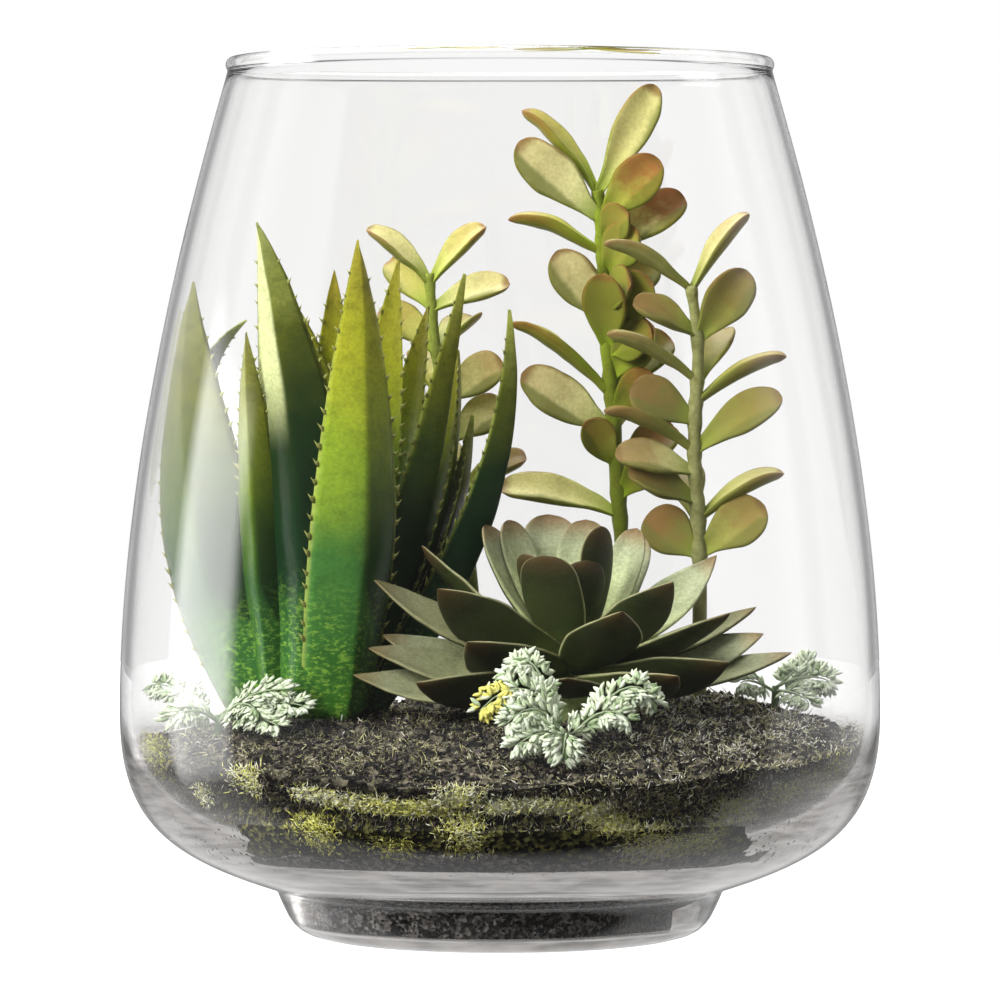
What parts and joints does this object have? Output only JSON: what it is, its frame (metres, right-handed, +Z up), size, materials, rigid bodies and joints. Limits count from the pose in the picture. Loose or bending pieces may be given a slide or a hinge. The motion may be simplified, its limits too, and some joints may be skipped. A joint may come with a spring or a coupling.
{
  "type": "glass plant terrarium",
  "caption": "Open clear-glass jar on a short foot, filled with soil and moss and planted with an aloe, jade stems, a rosette succulent and lace sprays.",
  "frame": {"origin": "centre of the foot's underside, where the jar stands on the table", "axes": "+Z up along the jar's axis, -Y towards the viewer, with the aloe on the -X side and the tall stems on the +X side"},
  "size_m": [0.2084, 0.2084, 0.24],
  "materials": {
    "clear_glass": "clear, smooth",
    "dark_soil": "loose, dry",
    "top_soil": "loose, with golden fibres",
    "moss": "matted strands",
    "aloe_leaf": "waxy",
    "jade_leaf": "waxy",
    "rosette_leaf": "powdery",
    "lace_frond": "frosted"
  },
  "bodies": {
    "root": {"glass_jar": "clear_glass", "potting_soil": "dark_soil", "moss_layer": "moss", "soil_mound": "top_soil", "aloe": "aloe_leaf", "tall_jade_stem": "jade_leaf", "right_jade_stem": "jade_leaf", "back_jade_stem": "jade_leaf", "rosette": "rosette_leaf", "lace_spray_front": "lace_frond", "lace_spray_left": "lace_frond", "lace_spray_right": "lace_frond"}
  },
  "joints": []
}
